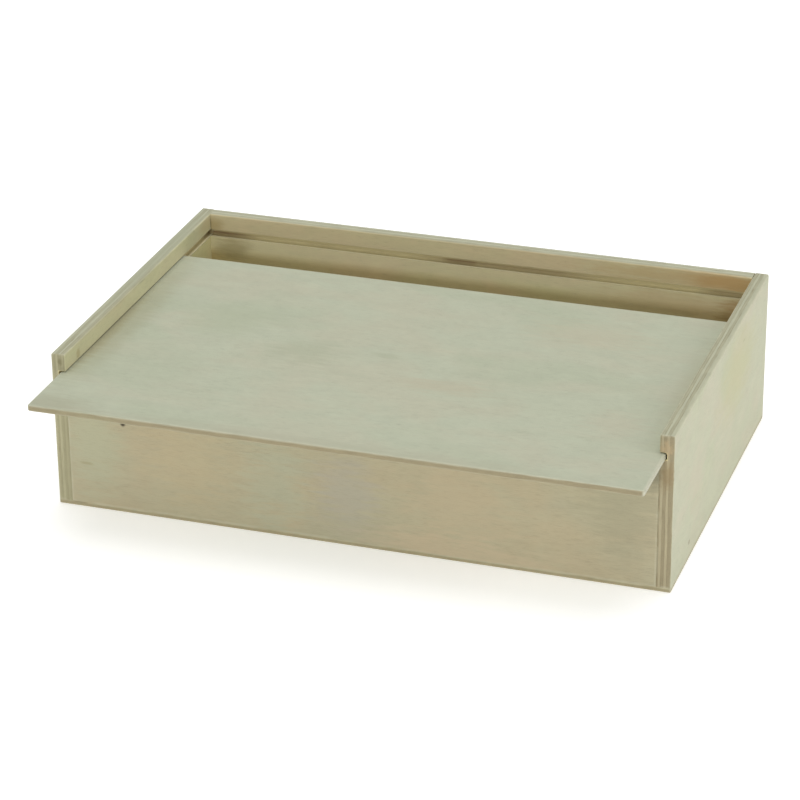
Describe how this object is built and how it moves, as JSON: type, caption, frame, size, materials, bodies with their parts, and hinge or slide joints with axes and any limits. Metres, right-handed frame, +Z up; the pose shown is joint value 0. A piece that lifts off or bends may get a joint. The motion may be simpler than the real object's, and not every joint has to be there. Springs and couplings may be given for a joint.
{
  "type": "sliding lid box",
  "caption": "Shallow plywood box whose thin flat lid slides forwards in grooves along the sides and back, over a lower front wall.",
  "frame": {"origin": "middle of the box's underside, not counting the part of the lid that stands out at the front", "axes": "+X to the right, +Y to the back, +Z up; the lid opens towards -Y"},
  "size_m": [0.39, 0.299, 0.102],
  "materials": {
    "plywood_walls": "raw, sanded",
    "plywood_bottom": "raw, sanded",
    "plywood_lid": "raw, sanded",
    "steel_brads": "bright drawn wire"
  },
  "bodies": {
    "box": {"left_side": "plywood_walls", "right_side": "plywood_walls", "back_panel": "plywood_walls", "front_panel": "plywood_walls", "bottom_panel": "plywood_bottom", "bottom_brads": "steel_brads"},
    "lid": {"lid": "plywood_lid"}
  },
  "joints": [
    {"name": "lid_slide", "type": "slide", "parent": "box", "child": "lid", "axis": [0, -1, 0], "range_m": [-0.05, 0.198]}
  ]
}
